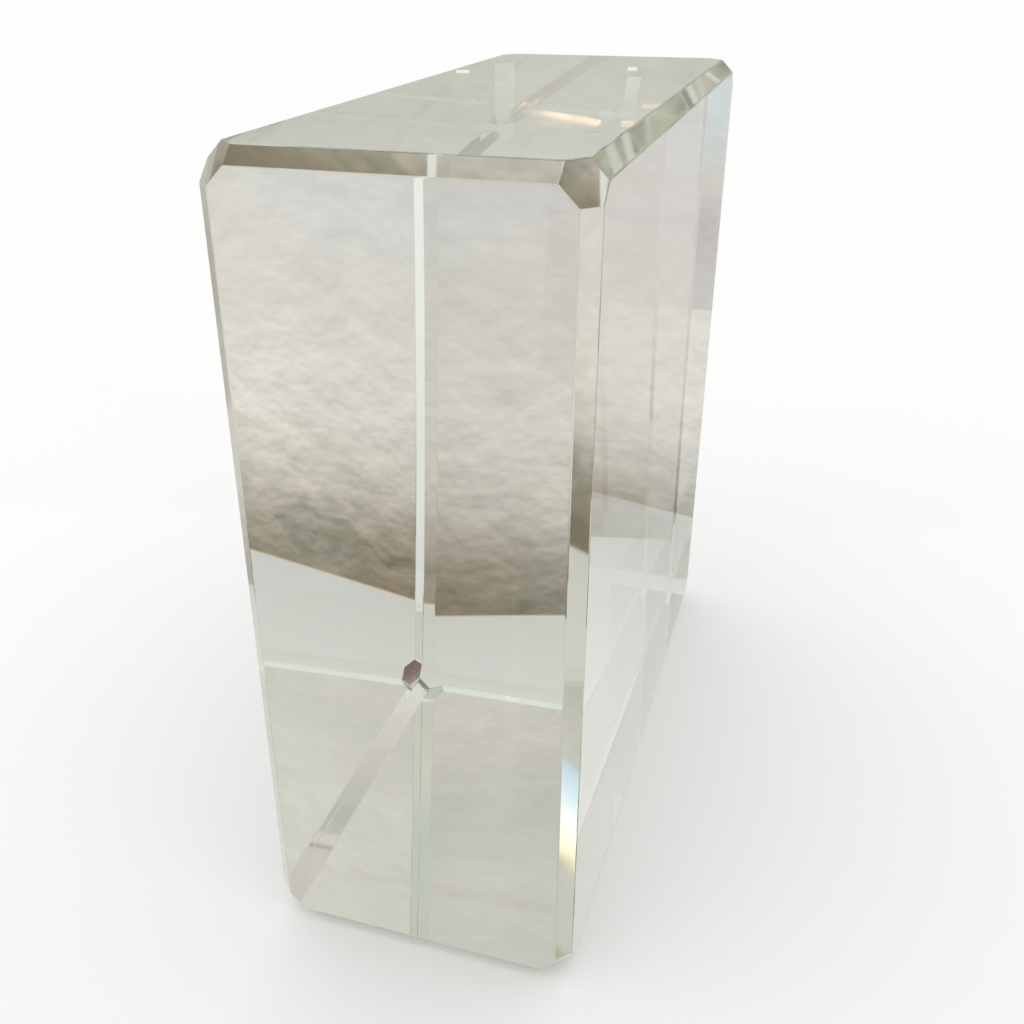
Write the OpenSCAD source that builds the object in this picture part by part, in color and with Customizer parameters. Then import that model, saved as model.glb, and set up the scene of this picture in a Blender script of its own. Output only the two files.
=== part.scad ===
// Solid optical-glass paperweight: a clear square slab that stands on one of its narrow sides.
// Every edge has a flat 45 degree bevel, and every corner is ground off to a flat facet.
// Millimetres, +Z up. The origin is the centre of the footprint, on the surface that the block stands on.
// The front is the narrow side that faces -Y.

/* [Block] */
// Thickness of the slab, from left to right
block_w = 40; // [30:1:60]
// Depth of the slab, from front to back
block_d = 100; // [80:1:120]
// Height of the slab, from the base to the top
block_h = 100; // [80:1:120]

/* [Ground edges] */
// Leg of the bevel on each of the twelve edges, measured along either face
edge_leg = 1.8; // [1:0.1:2.5]
// How far each corner is cut back along its three edges, measured from the sharp corner
corner_leg = 5.6; // [5.2:0.1:8]

/* [Glass] */
// Faint green-grey of the clear glass
glass_colour = "#DDE3DA"; // colour name or #RRGGBB

/* [Hidden] */

// Sides of a corner or an edge: the negative and the positive one
SIDES = [-1, 1];
// A corner facet leans equally to all three axes, so its plane lies this far in from each face
facet_inset = corner_leg / 3;
// Side of the square tool that grinds one corner, wide enough to cover the whole facet
grinder = 4 * corner_leg;

// Rectangle centred on the origin, with its four corners cut off at 45 degrees
module bevelled_rectangle(size, leg) {
    x = size[0] / 2;
    y = size[1] / 2;
    polygon([
        [x, y - leg], [x - leg, y], [leg - x, y], [-x, y - leg],
        [-x, leg - y], [leg - x, -y], [x - leg, -y], [x, leg - y],
    ]);
}

// Prism of the bevelled outline, centred on the origin along its own length
module bevelled_bar(size, length, leg) {
    linear_extrude(height = length, center = true) bevelled_rectangle(size, leg);
}

// Block centred on the origin: where the three bevelled prisms meet, all twelve edges are bevelled
module bevelled_block() {
    intersection() {
        bevelled_bar([block_w, block_d], block_h, edge_leg);
        rotate([90, 0, 0]) bevelled_bar([block_w, block_h], block_d, edge_leg);
        rotate([0, 90, 0]) bevelled_bar([block_h, block_d], block_w, edge_leg);
    }
}

// Everything beyond the facet plane of the corner on the given sides of the block's centre
module corner_waste(side_x, side_y, side_z) {
    translate([
        side_x * (block_w / 2 - facet_inset),
        side_y * (block_d / 2 - facet_inset),
        side_z * (block_h / 2 - facet_inset),
    ])
        rotate([0, acos(side_z / sqrt(3)), atan2(side_y, side_x)])
            translate([0, 0, grinder / 2])
                cube(grinder, center = true);
}

module crystal_block() {
    color(glass_colour)
        translate([0, 0, block_h / 2])
            difference() {
                bevelled_block();
                for (side_x = SIDES, side_y = SIDES, side_z = SIDES)
                    corner_waste(side_x, side_y, side_z);
            }
}

crystal_block();
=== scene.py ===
"""Clear glass paperweight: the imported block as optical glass, on a pale table in soft studio light."""

import math

import bmesh
import bpy
from mathutils import Euler, Matrix, Vector


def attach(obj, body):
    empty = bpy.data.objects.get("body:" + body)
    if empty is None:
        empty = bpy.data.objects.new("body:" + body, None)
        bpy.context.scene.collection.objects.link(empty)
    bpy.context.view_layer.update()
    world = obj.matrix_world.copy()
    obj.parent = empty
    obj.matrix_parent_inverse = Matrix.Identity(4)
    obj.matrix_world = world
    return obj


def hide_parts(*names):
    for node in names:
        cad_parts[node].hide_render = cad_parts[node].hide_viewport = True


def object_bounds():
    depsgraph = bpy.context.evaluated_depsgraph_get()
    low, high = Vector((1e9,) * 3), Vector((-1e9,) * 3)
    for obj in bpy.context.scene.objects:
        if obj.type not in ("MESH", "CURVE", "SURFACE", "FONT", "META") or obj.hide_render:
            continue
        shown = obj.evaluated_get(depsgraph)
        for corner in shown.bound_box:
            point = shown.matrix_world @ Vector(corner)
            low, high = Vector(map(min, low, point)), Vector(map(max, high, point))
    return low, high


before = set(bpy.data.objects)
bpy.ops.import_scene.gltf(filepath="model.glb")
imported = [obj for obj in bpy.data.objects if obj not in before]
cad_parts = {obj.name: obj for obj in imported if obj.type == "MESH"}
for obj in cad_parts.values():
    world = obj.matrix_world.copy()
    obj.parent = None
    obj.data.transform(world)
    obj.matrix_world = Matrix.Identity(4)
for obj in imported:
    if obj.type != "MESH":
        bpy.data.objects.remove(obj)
cad_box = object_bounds()

BLOCK = "crystal_block"

# Camera: close above the right front corner, looking down
CAMERA_AT = (0.0397, -0.1425, 0.1166)
CAMERA_TURN = 17.93
CAMERA_TILT = 27.22
CAMERA_ROLL = 0.31
SENSOR_MM = 36.0
LENS_MM = 38.33
LENS_SHIFT = (0.0237, -0.0077)
CLIP = (0.005, 50)

# Floor that the camera sees. The film of air keeps the block's base reflective.
AIR_FILM = 0.0001
FLOOR_COLOUR = (0.97, 0.97, 0.965)
FLOOR_ROUGHNESS = 0.7
FLOOR_SPECULAR = 0.2
FLOOR_REACH = 6.0

# Table top that the glass sees, a glowing sheet with painted shade towards its far edge and painted light to
# the right: it ends in a straight edge behind the block
TABLE_REACH = 3.0
TABLE_EDGE_GAP = 0.025
TABLE_EDGE_TURN = 14.4
TABLE_BEND_AT = -0.14
TABLE_BEND_SLOPE = 0.32
TABLE_NEAR_TONE = (0.785, 0.795, 0.765)
TABLE_FAR_SHADED_TONE = (0.600, 0.605, 0.575)
TABLE_PAINTED_SHADE_DEPTH = 0.06
TABLE_PAINTED_LIGHT_BY_SIDE = {0.03: 1.0, 0.20: 1.12}
EDGE_BAND_WIDTH = 0.0004
EDGE_BAND_COLOUR = (0.55, 0.36, 0.20)

# Plastered wall beyond the table's edge, a glowing card: tone by height above the table, with painted shade
# below the table's level that the tilt raises on the left, and painted light as a gain from left to right
WALL_GAP = 0.075
WALL_LOW = -0.3
WALL_CENTRE = 0.03
WALL_TILT = 0.10
WALL_TONES_WITH_PAINTED_SHADE = {
    -0.120: (0.300, 0.285, 0.230),
    -0.085: (0.130, 0.098, 0.055),
    -0.055: (0.225, 0.182, 0.120),
    -0.040: (0.335, 0.295, 0.235),
    -0.025: (0.545, 0.505, 0.450),
    -0.010: (0.655, 0.620, 0.565),
    0.005: (0.705, 0.670, 0.625),
    0.060: (0.675, 0.645, 0.620),
    0.098: (0.610, 0.590, 0.540),
    0.112: (0.585, 0.568, 0.518),
    0.135: (0.630, 0.610, 0.562),
    0.160: (0.610, 0.592, 0.545),
}
WALL_PAINTED_LIGHT_BY_SIDE = {
    -0.10: 0.82,
    -0.04: 0.93,
    0.00: 0.91,
    0.03: 1.0,
    0.08: 1.08,
    0.12: 0.93,
    0.16: 0.83,
    0.24: 0.96,
}

# Painted light and shade from the relief, random clouds of tone, and dark patches low on the plaster. A noise
# is given by its scale, detail and squash in height.
RELIEF_NOISE = (95, 2.5, 1.15)
RELIEF_DEPTH = 0.0022
RELIEF_SHADING_BY_HEIGHT = {-0.045: 1.2, -0.015: 0.72, 0.03: 0.32, 0.12: 0.20}
RELIEF_LIGHT = (0.15, 0, 1)
CLOUD_NOISE = (70, 4, 1)
CLOUD_RANGE = (0.93, 1.07)
LOW_PATCH_NOISE = (90, 6, 1.6)
LOW_PATCH_RANGE = (0.42, 0.60)
LOW_PATCH_COLOUR = (0.12, 0.13, 0.08)
LOW_PATCH_BY_HEIGHT = {-0.060: 0.20, -0.044: 0.50, -0.030: 0.15, -0.018: 0.0}

# Room around the table, cards that glow with painted light and shade, by height where its tone changes
ROOM_REACH = 0.9
ROOM_HIGH = 0.92
ROOM_LOW_TONE = (0.70, 0.70, 0.66)
ROOM_RIGHT_TONES = {0: ROOM_LOW_TONE, 0.3: (0.60, 0.60, 0.54)}
ROOM_LEFT_TONES = {0: ROOM_LOW_TONE, 0.3: (0.58, 0.57, 0.53)}
ROOM_FRONT_TONES = {
    0.05: (0.60, 0.59, 0.53),
    0.26: (0.60, 0.58, 0.52),
    0.32: (0.34, 0.27, 0.21),
    0.90: (0.34, 0.38, 0.33),
}
CEILING_TONE = (0.76, 0.80, 0.74)
CEILING_DIM_TONE = (0.53, 0.555, 0.51)
CEILING_DIM_FROM = 0.45

# Window behind on the right, a leaning card: its sides, and depth and height at its foot and its head
WINDOW_SIDES = (0.215, 0.285)
WINDOW_FOOT = (0.212, 0.27)
WINDOW_HEAD = (0.160, 0.33)
WINDOW_TONES = {
    0.270: (0.55, 0.70, 0.85),
    0.288: (0.85, 1.05, 1.20),
    0.300: (1.30, 1.35, 1.30),
    0.318: (1.35, 1.20, 0.85),
    0.328: (0.60, 0.60, 0.48),
}

# Strip lamp behind the camera: its left and right end, each given by x, lowest z and highest z
LAMP_TONE = (5.0, 3.2, 2.4)
LAMP_DEPTH = -0.6
LAMP_LEFT = (0.096, 0.1785, 0.1825)
LAMP_RIGHT = (0.158, 0.1725, 0.1760)

# Dark card of painted shade far to the right, and a low toned card in front of the block, which fades out at
# both ends
PAINTED_SHADE_TONE = (0.13, 0.045, 0.05)
PAINTED_SHADE_X = 0.85
PAINTED_SHADE_DEPTHS = (-0.30, -0.22)
PAINTED_SHADE_HEIGHTS = (0.50, 0.57)
FRONT_CARD_DEPTH = -0.14
FRONT_CARD_FADE = {-0.085: 0.0, -0.050: 1.0, -0.030: 1.0, 0.005: 0.0}
FRONT_CARD_TONES = {
    0.0030: (0.30, 0.30, 0.29),
    0.0315: (0.07, 0.06, 0.07),
    0.0445: (0.44, 0.45, 0.38),
    0.0700: (0.48, 0.78, 0.92),
}
FRONT_CARD_TOP = 0.085

# Painted gleams of light on the wall, which the top face mirrors as highlights: place, width, lowest point,
# rise, and tones at foot and head.
# They lean back and to the left as they rise, so that the steep lines of sight that leave the block's
# back face pass them edge on.
PAINTED_GLEAMS = (
    (-0.0550, 0.0032, 0.1113, 0.0008, (1.20, 1.15, 0.95), (1.10, 1.00, 0.75)),
    (-0.0450, 0.0045, 0.1080, 0.0200, (0.65, 0.66, 0.63), (0.58, 0.57, 0.52)),
    (-0.0145, 0.0022, 0.1106, 0.0009, (1.15, 1.12, 0.92), (1.00, 0.95, 0.75)),
    (-0.0150, 0.0032, 0.1118, 0.0110, (0.70, 0.71, 0.61), (0.58, 0.57, 0.52)),
    (-0.0090, 0.0055, 0.1192, 0.0010, (1.05, 0.84, 0.66), (0.95, 0.78, 0.64)),
    (-0.0150, 0.0030, 0.1230, 0.0018, (1.15, 0.95, 0.78), (0.90, 0.72, 0.58)),
)
GLEAM_LEAN = (-0.29, 0.94)
GLEAM_STANDOFF = 0.004

WORLD_STRENGTH = 1.03

# Optical glass: the broad faces are finely polished, and the bevels and facets a little less so
WELD = 1e-6
FLAT_DEGREES = 0.5
ARRIS = 0.00012
ARRIS_STEPS = 3
SQUARE_ON = 0.99999
GLASS_IOR = 1.517
GLASS_TINT = (0.918, 0.940, 0.870)
GLASS_DENSITY = 5.0
BEVEL_TINT = (0.93, 0.915, 0.875)
BEVEL_ROUGHNESS = 0.055
SMEAR_NOISE = (60, 4, 1)
SMEAR_RANGE = (0.45, 0.75)
SMEAR_ROUGHNESS = 0.05
BOUNCES = 32


def node_material(name):
    """A new material with an empty node tree and its output node."""
    material = bpy.data.materials.new(name)
    material.use_nodes = True
    material.node_tree.nodes.clear()
    output = material.node_tree.nodes.new("ShaderNodeOutputMaterial")
    return material, material.node_tree, output


def glow_material(name, colour=(1, 1, 1)):
    """Plain glow of one colour."""
    material, tree, output = node_material(name)
    emission = tree.nodes.new("ShaderNodeEmission")
    emission.inputs["Color"].default_value = (*colour, 1)
    tree.links.new(emission.outputs[0], output.inputs["Surface"])
    return material, tree, emission


def colour_ramp(tree, value, tones):
    """A ramp through the tones, by a value that runs over their keys. A tone is a colour or one number."""
    stops = sorted(tones)
    span = tree.nodes.new("ShaderNodeMapRange")
    span.inputs["From Min"].default_value = stops[0]
    span.inputs["From Max"].default_value = stops[-1]
    tree.links.new(value, span.inputs["Value"])
    ramp = tree.nodes.new("ShaderNodeValToRGB")
    elements = ramp.color_ramp.elements
    while len(elements) < len(stops):
        elements.new(0.5)
    for element, stop in zip(elements, stops):
        tone = tones[stop]
        element.position = (stop - stops[0]) / (stops[-1] - stops[0])
        element.color = (*tone, 1) if isinstance(tone, tuple) else (tone, tone, tone, 1)
    tree.links.new(span.outputs[0], ramp.inputs[0])
    return ramp.outputs[0]


def along(tree, direction):
    """Distance along a direction, in the scene's own metres."""
    place = tree.nodes.new("ShaderNodeTexCoord")
    dot = tree.nodes.new("ShaderNodeVectorMath")
    dot.operation = "DOT_PRODUCT"
    dot.inputs[1].default_value = direction
    tree.links.new(place.outputs["Object"], dot.inputs[0])
    return dot.outputs["Value"]


def noise(tree, scale, detail, squash):
    """Noise in the scene's own metres, squashed in height."""
    place = tree.nodes.new("ShaderNodeTexCoord")
    mapping = tree.nodes.new("ShaderNodeMapping")
    mapping.inputs["Scale"].default_value = (1, 1, squash)
    tree.links.new(place.outputs["Object"], mapping.inputs["Vector"])
    texture = tree.nodes.new("ShaderNodeTexNoise")
    texture.inputs["Scale"].default_value = scale
    texture.inputs["Detail"].default_value = detail
    tree.links.new(mapping.outputs[0], texture.inputs["Vector"])
    return texture.outputs["Fac"]


def remap(tree, value, source, target=(0, 1)):
    """A value moved from one range to another, and held inside it."""
    node = tree.nodes.new("ShaderNodeMapRange")
    node.inputs["From Min"].default_value, node.inputs["From Max"].default_value = source
    node.inputs["To Min"].default_value, node.inputs["To Max"].default_value = target
    tree.links.new(value, node.inputs["Value"])
    return node.outputs[0]


def math_node(tree, operation, first, second):
    """One sum or product of two sockets."""
    node = tree.nodes.new("ShaderNodeMath")
    node.operation = operation
    tree.links.new(first, node.inputs[0])
    tree.links.new(second, node.inputs[1])
    return node.outputs[0]


def mixed_colour(tree, factor, second, first=(1, 1, 1)):
    """A mix from the first colour to the second. The first may be a socket."""
    node = tree.nodes.new("ShaderNodeMix")
    node.data_type = "RGBA"
    node.inputs["B"].default_value = (*second, 1)
    tree.links.new(factor, node.inputs["Factor"])
    if isinstance(first, tuple):
        node.inputs["A"].default_value = (*first, 1)
    else:
        tree.links.new(first, node.inputs["A"])
    return node.outputs["Result"]


def rail(a, b, z):
    """Two points of the floor plan, both at one height."""
    return [(*a, z), (*b, z)]


def stage_sheet(name, rail_a, rail_b, material):
    """A sheet between two rails with as many points each."""
    count = len(rail_a)
    faces = [(i, i + 1, count + i + 1, count + i) for i in range(count - 1)]
    mesh = bpy.data.meshes.new(name)
    mesh.from_pydata([Vector(point) for point in (*rail_a, *rail_b)], [], faces)
    mesh.materials.append(material)
    sheet = bpy.data.objects.new(name, mesh)
    bpy.context.scene.collection.objects.link(sheet)
    return sheet


def room_card(name, rail_a, rail_b, material):
    """A card that only reflections and refractions in the glass meet. Apart from the lamp and the window, its
    glow is painted light and shade in place of a lit surface.
    """
    card = stage_sheet(name, rail_a, rail_b, material)
    card.visible_camera = False
    card.visible_diffuse = False
    card.visible_shadow = False


def plain_card(name, rail_a, rail_b, tone):
    """A card that glows in one colour."""
    material, _, _ = glow_material(name, tone)
    room_card(name, rail_a, rail_b, material)


def toned_card(name, foot, head, tones, opacity_by_side=None):
    """A card between its foot and its head, toned by height. It may fade out from left to right."""
    material, tree, emission = glow_material(name)
    tree.links.new(colour_ramp(tree, along(tree, (0, 0, 1)), tones), emission.inputs["Color"])
    if opacity_by_side:
        clear = tree.nodes.new("ShaderNodeBsdfTransparent")
        mix = tree.nodes.new("ShaderNodeMixShader")
        tree.links.new(colour_ramp(tree, along(tree, (1, 0, 0)), opacity_by_side), mix.inputs["Fac"])
        tree.links.new(clear.outputs[0], mix.inputs[1])
        tree.links.new(emission.outputs[0], mix.inputs[2])
        tree.links.new(mix.outputs[0], tree.nodes["Material Output"].inputs["Surface"])
    room_card(name, foot, head, material)


def edge_y(x, beyond=0.0):
    """Y of the table's far edge at x, or of a line beyond it. Far to the left the edge bends away."""
    straight_x = max(x, TABLE_BEND_AT)
    straight_y = cad_box[1].y + TABLE_EDGE_GAP + math.tan(math.radians(TABLE_EDGE_TURN)) * straight_x
    return straight_y + TABLE_BEND_SLOPE * (straight_x - x) + beyond


def edge_line(reach, z, beyond=0.0):
    """Points along the table's far edge, or along a line beyond it, at one height."""
    return [(x, edge_y(x, beyond), z) for x in (-reach, TABLE_BEND_AT, reach)]


def make_camera():
    data = bpy.data.cameras.new("camera")
    data.sensor_width = SENSOR_MM
    data.lens = LENS_MM
    data.shift_x, data.shift_y = LENS_SHIFT
    data.clip_start, data.clip_end = CLIP
    camera = bpy.data.objects.new("camera", data)
    turn = Euler((math.radians(90 - CAMERA_TILT), 0, math.radians(CAMERA_TURN))).to_matrix().to_4x4()
    roll = Matrix.Rotation(math.radians(-CAMERA_ROLL), 4, "Z")
    camera.matrix_world = Matrix.Translation(CAMERA_AT) @ turn @ roll
    bpy.context.scene.collection.objects.link(camera)
    bpy.context.scene.camera = camera


def make_floor():
    """Pale floor for the camera. The glass sees the table top instead."""
    material, tree, output = node_material("pale_floor")
    shader = tree.nodes.new("ShaderNodeBsdfPrincipled")
    shader.inputs["Base Color"].default_value = (*FLOOR_COLOUR, 1)
    shader.inputs["Roughness"].default_value = FLOOR_ROUGHNESS
    shader.inputs["Specular IOR Level"].default_value = FLOOR_SPECULAR
    tree.links.new(shader.outputs[0], output.inputs["Surface"])
    reach, z = FLOOR_REACH, -2 * AIR_FILM
    near, far = (rail((-reach, y), (reach, y), z) for y in (-reach, reach))
    floor = stage_sheet("floor", near, far, material)
    floor.visible_glossy = False
    floor.visible_transmission = False


def make_table():
    """The table top ends close behind the block, so the glass shows its edge and the wall beyond. It glows,
    with painted shade that darkens it towards its far edge and painted light that brightens it to the right.
    """
    material, tree, emission = glow_material("table_top")
    # Painted shade: the glow darkens towards the table's far edge
    inwards = along(tree, (math.tan(math.radians(TABLE_EDGE_TURN)), -1, 0))
    tones = {-edge_y(0): TABLE_FAR_SHADED_TONE, TABLE_PAINTED_SHADE_DEPTH - edge_y(0): TABLE_NEAR_TONE}
    tree.links.new(colour_ramp(tree, inwards, tones), emission.inputs["Color"])
    # Painted light: the glow brightens to the right
    gain = colour_ramp(tree, along(tree, (1, 0, 0)), TABLE_PAINTED_LIGHT_BY_SIDE)
    tree.links.new(gain, emission.inputs["Strength"])
    near, band, edge = (
        edge_line(TABLE_REACH, -AIR_FILM, beyond) for beyond in (-2 * TABLE_REACH, -EDGE_BAND_WIDTH, 0)
    )
    room_card("table_top", near, band, material)
    plain_card("table_edge_band", band, edge, EDGE_BAND_COLOUR)


def make_wall():
    """Plastered wall that glows: its tone falls off in painted shade below the table's level, low relief
    mottles it with painted light and shade, and painted light varies it from left to right.
    """
    material, tree, emission = glow_material("plaster_wall")
    height = along(tree, (0, 0, 1))
    # Painted shade: the tone falls off below the table's level, and the tilt raises this shade on the left
    tones = {z + WALL_TILT * WALL_CENTRE: tone for z, tone in WALL_TONES_WITH_PAINTED_SHADE.items()}
    plaster = colour_ramp(tree, along(tree, (WALL_TILT, 0, 1)), tones)

    # Dark patches low down
    patches = remap(tree, noise(tree, *LOW_PATCH_NOISE), LOW_PATCH_RANGE)
    low_patch_mask = math_node(tree, "MULTIPLY", patches, colour_ramp(tree, height, LOW_PATCH_BY_HEIGHT))
    tree.links.new(mixed_colour(tree, low_patch_mask, LOW_PATCH_COLOUR, plaster), emission.inputs["Color"])

    # Painted light and shade of the plaster's relief, as if lit from above
    bump = tree.nodes.new("ShaderNodeBump")
    bump.inputs["Distance"].default_value = RELIEF_DEPTH
    tree.links.new(noise(tree, *RELIEF_NOISE), bump.inputs["Height"])
    lit = tree.nodes.new("ShaderNodeVectorMath")
    lit.operation = "DOT_PRODUCT"
    lit.inputs[1].default_value = RELIEF_LIGHT
    tree.links.new(bump.outputs[0], lit.inputs[0])
    relief = math_node(tree, "MULTIPLY", lit.outputs["Value"], colour_ramp(tree, height, RELIEF_SHADING_BY_HEIGHT))

    # Broad clouds, and painted light as a gain from left to right
    clouds = remap(tree, noise(tree, *CLOUD_NOISE), (0, 1), CLOUD_RANGE)
    painted_side_light = colour_ramp(tree, along(tree, (1, 0, 0)), WALL_PAINTED_LIGHT_BY_SIDE)
    strength = math_node(tree, "MULTIPLY", math_node(tree, "ADD", relief, clouds), painted_side_light)
    tree.links.new(strength, emission.inputs["Strength"])

    foot, head = (edge_line(ROOM_REACH, z, WALL_GAP) for z in (WALL_LOW, ROOM_HIGH))
    room_card("wall", foot, head, material)


def make_room():
    """Side walls, front wall and ceiling, which glow with painted light and shade. The right part of the
    ceiling is painted dimmer.
    """
    far, high = ROOM_REACH, ROOM_HIGH
    for name, a, b, tones in (
        ("room_right", (far, -far), (far, far), ROOM_RIGHT_TONES),
        ("room_left", (-far, -far), (-far, far), ROOM_LEFT_TONES),
        ("room_front", (-far, -far), (far, -far), ROOM_FRONT_TONES),
    ):
        toned_card(name, rail(a, b, WALL_LOW), rail(a, b, high), tones)
    for name, left, right, tone in (
        ("ceiling", -far, CEILING_DIM_FROM, CEILING_TONE),
        ("ceiling_dim", CEILING_DIM_FROM, far, CEILING_DIM_TONE),
    ):
        plain_card(name, rail((left, -far), (right, -far), high), rail((left, far), (right, far), high), tone)


def make_accents():
    """Window, lamp, a card of painted shade, a low toned card and painted gleams of light, which show as
    glints and darker patches in the glass.
    """
    window_foot, window_head = ([(x, *edge) for x in WINDOW_SIDES] for edge in (WINDOW_FOOT, WINDOW_HEAD))
    toned_card("window", window_foot, window_head, WINDOW_TONES)

    lamp_foot, lamp_head = ([(x[0], LAMP_DEPTH, x[i]) for x in (LAMP_LEFT, LAMP_RIGHT)] for i in (1, 2))
    plain_card("lamp", lamp_foot, lamp_head, LAMP_TONE)

    # A card of painted shade far to the right
    painted_shade_card = [(PAINTED_SHADE_X, y) for y in PAINTED_SHADE_DEPTHS]
    plain_card("painted_shade_card", *(rail(*painted_shade_card, z) for z in PAINTED_SHADE_HEIGHTS), PAINTED_SHADE_TONE)

    # A low card in front of the block, glowing with painted light and shade, toned by height
    front_card = [(x, FRONT_CARD_DEPTH) for x in (min(FRONT_CARD_FADE), max(FRONT_CARD_FADE))]
    toned_card("front_card", rail(*front_card, 0), rail(*front_card, FRONT_CARD_TOP), FRONT_CARD_TONES, FRONT_CARD_FADE)

    # Each gleam is a card glowing with painted light, which the top face mirrors as a highlight
    for x, width, low, rise, foot_tone, head_tone in PAINTED_GLEAMS:
        sides = [(side, edge_y(side, WALL_GAP - GLEAM_STANDOFF)) for side in (x - width / 2, x + width / 2)]
        lean_x, lean_y = (part * rise for part in GLEAM_LEAN)
        foot = [(side - lean_x, y - lean_y, low) for side, y in sides]
        head = [(side, y, low + rise) for side, y in sides]
        toned_card("gleam", foot, head, {low: foot_tone, low + rise: head_tone})


def make_world():
    world = bpy.data.worlds.new("world")
    world.use_nodes = True
    background = world.node_tree.nodes["Background"]
    background.inputs["Color"].default_value = (1, 1, 1, 1)
    background.inputs["Strength"].default_value = WORLD_STRENGTH
    bpy.context.scene.world = world


def glass_material():
    """Clear glass with a faint tint in its depth. The bevels are a little rougher and pass less light."""
    material, tree, output = node_material("clear_glass")
    bevel = tree.nodes.new("ShaderNodeAttribute")
    bevel.attribute_name = "bevel"
    smears = remap(tree, noise(tree, *SMEAR_NOISE), SMEAR_RANGE, (0, SMEAR_ROUGHNESS))
    roughness = tree.nodes.new("ShaderNodeMix")
    roughness.inputs["B"].default_value = BEVEL_ROUGHNESS
    tree.links.new(bevel.outputs["Fac"], roughness.inputs["Factor"])
    tree.links.new(smears, roughness.inputs["A"])

    shader = tree.nodes.new("ShaderNodeBsdfPrincipled")
    shader.inputs["IOR"].default_value = GLASS_IOR
    shader.inputs["Transmission Weight"].default_value = 1.0
    tree.links.new(mixed_colour(tree, bevel.outputs["Fac"], BEVEL_TINT), shader.inputs["Base Color"])
    tree.links.new(roughness.outputs["Result"], shader.inputs["Roughness"])
    tree.links.new(shader.outputs[0], output.inputs["Surface"])
    volume = tree.nodes.new("ShaderNodeVolumeAbsorption")
    volume.inputs["Color"].default_value = (*GLASS_TINT, 1)
    volume.inputs["Density"].default_value = GLASS_DENSITY
    tree.links.new(volume.outputs[0], output.inputs["Volume"])
    return material


def make_block():
    """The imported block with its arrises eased, and every bevel and facet marked for the glass material."""
    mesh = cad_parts[BLOCK].data.copy()
    mesh.name = "glass_block"
    form = bmesh.new()
    form.from_mesh(mesh)
    bmesh.ops.remove_doubles(form, verts=form.verts, dist=WELD)
    bmesh.ops.dissolve_limit(form, angle_limit=math.radians(FLAT_DEGREES), verts=form.verts, edges=form.edges)
    bmesh.ops.bevel(
        form,
        geom=form.edges[:],
        offset=ARRIS,
        segments=ARRIS_STEPS,
        profile=0.5,
        affect="EDGES",
        clamp_overlap=True,
    )
    form.normal_update()
    bevel = form.faces.layers.float.new("bevel")
    for face in form.faces:
        square_on = max(abs(part) for part in face.normal) > SQUARE_ON
        face[bevel] = 0.0 if square_on else 1.0
        face.smooth = False
    form.to_mesh(mesh)
    form.free()
    mesh.materials.clear()
    mesh.materials.append(glass_material())
    block = bpy.data.objects.new("glass_block", mesh)
    bpy.context.scene.collection.objects.link(block)
    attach(block, "root")
    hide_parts(BLOCK)


make_camera()
make_floor()
make_table()
make_wall()
make_room()
make_accents()
make_world()
make_block()

scene = bpy.context.scene
scene.view_settings.view_transform = "Standard"
scene.cycles.max_bounces = BOUNCES
scene.cycles.transmission_bounces = BOUNCES
scene.cycles.glossy_bounces = BOUNCES
